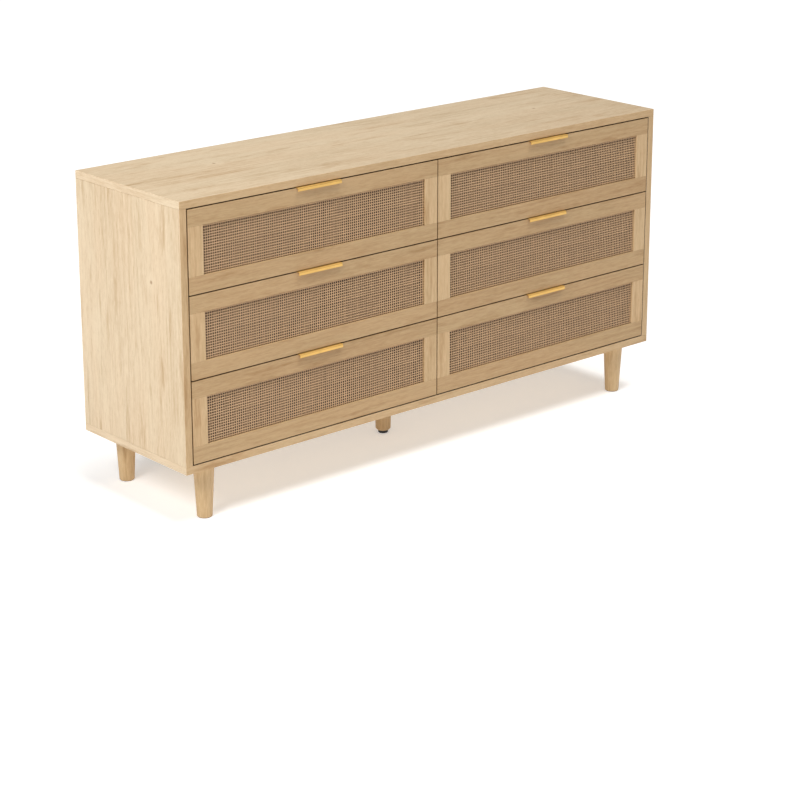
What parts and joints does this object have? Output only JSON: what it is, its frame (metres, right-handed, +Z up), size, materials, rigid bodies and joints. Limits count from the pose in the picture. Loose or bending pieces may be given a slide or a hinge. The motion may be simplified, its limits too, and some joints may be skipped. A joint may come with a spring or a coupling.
{
  "type": "dresser",
  "caption": "Low wide chest of drawers in light oak board on tapered legs, with two columns of framed cane drawer fronts, brass finger pulls and roller slides.",
  "frame": {"origin": "on the floor at the middle of the case's width and depth, the centre of the levelling foot's underside", "axes": "+X to the right along the width as one faces the drawers, +Y from the fronts to the back, +Z up"},
  "size_m": [1.5, 0.4075, 0.755],
  "materials": {
    "oak_case": "satin light-oak laminate on board",
    "oak_front": "satin light-oak laminate on board",
    "oak_box": "satin light-oak laminate on board",
    "oak_leg": "satin lacquered solid oak",
    "cane": "woven cane webbing",
    "brass": "satin",
    "white_enamel": "epoxy coat",
    "white_nylon": "moulded",
    "zinc_steel": "zinc plated",
    "hardboard": "light-oak foil on hardboard",
    "beech": "raw beech",
    "black_plastic": "moulded"
  },
  "bodies": {
    "case": {"top_panel": "oak_case", "bottom_panel": "oak_case", "left_side_panel": "oak_case", "right_side_panel": "oak_case", "centre_divider": "oak_case", "back_panels": "hardboard", "corner_legs": "oak_leg", "centre_leg": "oak_leg", "case_runners": "white_enamel", "case_fasteners": "zinc_steel", "case_dowels": "beech"},
    "levelling_foot": {"levelling_foot": "black_plastic"},
    "top_left_drawer": {"top_left_drawer_front": "oak_front", "top_left_drawer_cane_panel": "cane", "top_left_drawer_pull": "brass", "top_left_drawer_box": "oak_box", "top_left_drawer_runners": "white_enamel", "top_left_drawer_fasteners": "zinc_steel"},
    "top_left_drawer_rollers": {"top_left_drawer_rollers": "white_nylon"},
    "top_left_case_rollers": {"top_left_case_rollers": "white_nylon"},
    "top_right_drawer": {"top_right_drawer_front": "oak_front", "top_right_drawer_cane_panel": "cane", "top_right_drawer_pull": "brass", "top_right_drawer_box": "oak_box", "top_right_drawer_runners": "white_enamel", "top_right_drawer_fasteners": "zinc_steel"},
    "top_right_drawer_rollers": {"top_right_drawer_rollers": "white_nylon"},
    "top_right_case_rollers": {"top_right_case_rollers": "white_nylon"},
    "middle_left_drawer": {"middle_left_drawer_front": "oak_front", "middle_left_drawer_cane_panel": "cane", "middle_left_drawer_pull": "brass", "middle_left_drawer_box": "oak_box", "middle_left_drawer_runners": "white_enamel", "middle_left_drawer_fasteners": "zinc_steel"},
    "middle_left_drawer_rollers": {"middle_left_drawer_rollers": "white_nylon"},
    "middle_left_case_rollers": {"middle_left_case_rollers": "white_nylon"},
    "middle_right_drawer": {"middle_right_drawer_front": "oak_front", "middle_right_drawer_cane_panel": "cane", "middle_right_drawer_pull": "brass", "middle_right_drawer_box": "oak_box", "middle_right_drawer_runners": "white_enamel", "middle_right_drawer_fasteners": "zinc_steel"},
    "middle_right_drawer_rollers": {"middle_right_drawer_rollers": "white_nylon"},
    "middle_right_case_rollers": {"middle_right_case_rollers": "white_nylon"},
    "bottom_left_drawer": {"bottom_left_drawer_front": "oak_front", "bottom_left_drawer_cane_panel": "cane", "bottom_left_drawer_pull": "brass", "bottom_left_drawer_box": "oak_box", "bottom_left_drawer_runners": "white_enamel", "bottom_left_drawer_fasteners": "zinc_steel"},
    "bottom_left_drawer_rollers": {"bottom_left_drawer_rollers": "white_nylon"},
    "bottom_left_case_rollers": {"bottom_left_case_rollers": "white_nylon"},
    "bottom_right_drawer": {"bottom_right_drawer_front": "oak_front", "bottom_right_drawer_cane_panel": "cane", "bottom_right_drawer_pull": "brass", "bottom_right_drawer_box": "oak_box", "bottom_right_drawer_runners": "white_enamel", "bottom_right_drawer_fasteners": "zinc_steel"},
    "bottom_right_drawer_rollers": {"bottom_right_drawer_rollers": "white_nylon"},
    "bottom_right_case_rollers": {"bottom_right_case_rollers": "white_nylon"}
  },
  "joints": [
    {"name": "levelling_foot_travel", "type": "slide", "parent": "case", "child": "levelling_foot", "axis": [0, 0, -1], "range_m": [0, 0.01]},
    {"name": "top_left_drawer_slide", "type": "slide", "parent": "case", "child": "top_left_drawer", "axis": [0, -1, 0], "range_m": [0, 0.265]},
    {"name": "top_left_drawer_rollers_spin", "type": "hinge", "parent": "top_left_drawer", "child": "top_left_drawer_rollers", "pos_m": [-0.3705, 0.155, 0.55892], "axis": [1, 0, 0], "range_deg": [0, 1798]},
    {"name": "top_left_case_rollers_spin", "type": "hinge", "parent": "case", "child": "top_left_case_rollers", "pos_m": [-0.3705, -0.168, 0.55892], "axis": [1, 0, 0], "range_deg": [0, 1798]},
    {"name": "top_right_drawer_slide", "type": "slide", "parent": "case", "child": "top_right_drawer", "axis": [0, -1, 0], "range_m": [0, 0.265]},
    {"name": "top_right_drawer_rollers_spin", "type": "hinge", "parent": "top_right_drawer", "child": "top_right_drawer_rollers", "pos_m": [0.3705, 0.155, 0.55892], "axis": [1, 0, 0], "range_deg": [0, 1798]},
    {"name": "top_right_case_rollers_spin", "type": "hinge", "parent": "case", "child": "top_right_case_rollers", "pos_m": [0.3705, -0.168, 0.55892], "axis": [1, 0, 0], "range_deg": [0, 1798]},
    {"name": "middle_left_drawer_slide", "type": "slide", "parent": "case", "child": "middle_left_drawer", "axis": [0, -1, 0], "range_m": [0, 0.265]},
    {"name": "middle_left_drawer_rollers_spin", "type": "hinge", "parent": "middle_left_drawer", "child": "middle_left_drawer_rollers", "pos_m": [-0.3705, 0.155, 0.36358], "axis": [1, 0, 0], "range_deg": [0, 1798]},
    {"name": "middle_left_case_rollers_spin", "type": "hinge", "parent": "case", "child": "middle_left_case_rollers", "pos_m": [-0.3705, -0.168, 0.36358], "axis": [1, 0, 0], "range_deg": [0, 1798]},
    {"name": "middle_right_drawer_slide", "type": "slide", "parent": "case", "child": "middle_right_drawer", "axis": [0, -1, 0], "range_m": [0, 0.265]},
    {"name": "middle_right_drawer_rollers_spin", "type": "hinge", "parent": "middle_right_drawer", "child": "middle_right_drawer_rollers", "pos_m": [0.3705, 0.155, 0.36358], "axis": [1, 0, 0], "range_deg": [0, 1798]},
    {"name": "middle_right_case_rollers_spin", "type": "hinge", "parent": "case", "child": "middle_right_case_rollers", "pos_m": [0.3705, -0.168, 0.36358], "axis": [1, 0, 0], "range_deg": [0, 1798]},
    {"name": "bottom_left_drawer_slide", "type": "slide", "parent": "case", "child": "bottom_left_drawer", "axis": [0, -1, 0], "range_m": [0, 0.265]},
    {"name": "bottom_left_drawer_rollers_spin", "type": "hinge", "parent": "bottom_left_drawer", "child": "bottom_left_drawer_rollers", "pos_m": [-0.3705, 0.155, 0.16825], "axis": [1, 0, 0], "range_deg": [0, 1798]},
    {"name": "bottom_left_case_rollers_spin", "type": "hinge", "parent": "case", "child": "bottom_left_case_rollers", "pos_m": [-0.3705, -0.168, 0.16825], "axis": [1, 0, 0], "range_deg": [0, 1798]},
    {"name": "bottom_right_drawer_slide", "type": "slide", "parent": "case", "child": "bottom_right_drawer", "axis": [0, -1, 0], "range_m": [0, 0.265]},
    {"name": "bottom_right_drawer_rollers_spin", "type": "hinge", "parent": "bottom_right_drawer", "child": "bottom_right_drawer_rollers", "pos_m": [0.3705, 0.155, 0.16825], "axis": [1, 0, 0], "range_deg": [0, 1798]},
    {"name": "bottom_right_case_rollers_spin", "type": "hinge", "parent": "case", "child": "bottom_right_case_rollers", "pos_m": [0.3705, -0.168, 0.16825], "axis": [1, 0, 0], "range_deg": [0, 1798]}
  ],
  "couplings": [
    {"joint": "top_left_drawer_rollers_spin", "follows": "top_left_drawer_slide", "rad_per_m": 118.34},
    {"joint": "top_left_case_rollers_spin", "follows": "top_left_drawer_slide", "rad_per_m": 118.34},
    {"joint": "top_right_drawer_rollers_spin", "follows": "top_right_drawer_slide", "rad_per_m": 118.34},
    {"joint": "top_right_case_rollers_spin", "follows": "top_right_drawer_slide", "rad_per_m": 118.34},
    {"joint": "middle_left_drawer_rollers_spin", "follows": "middle_left_drawer_slide", "rad_per_m": 118.34},
    {"joint": "middle_left_case_rollers_spin", "follows": "middle_left_drawer_slide", "rad_per_m": 118.34},
    {"joint": "middle_right_drawer_rollers_spin", "follows": "middle_right_drawer_slide", "rad_per_m": 118.34},
    {"joint": "middle_right_case_rollers_spin", "follows": "middle_right_drawer_slide", "rad_per_m": 118.34},
    {"joint": "bottom_left_drawer_rollers_spin", "follows": "bottom_left_drawer_slide", "rad_per_m": 118.34},
    {"joint": "bottom_left_case_rollers_spin", "follows": "bottom_left_drawer_slide", "rad_per_m": 118.34},
    {"joint": "bottom_right_drawer_rollers_spin", "follows": "bottom_right_drawer_slide", "rad_per_m": 118.34},
    {"joint": "bottom_right_case_rollers_spin", "follows": "bottom_right_drawer_slide", "rad_per_m": 118.34}
  ]
}
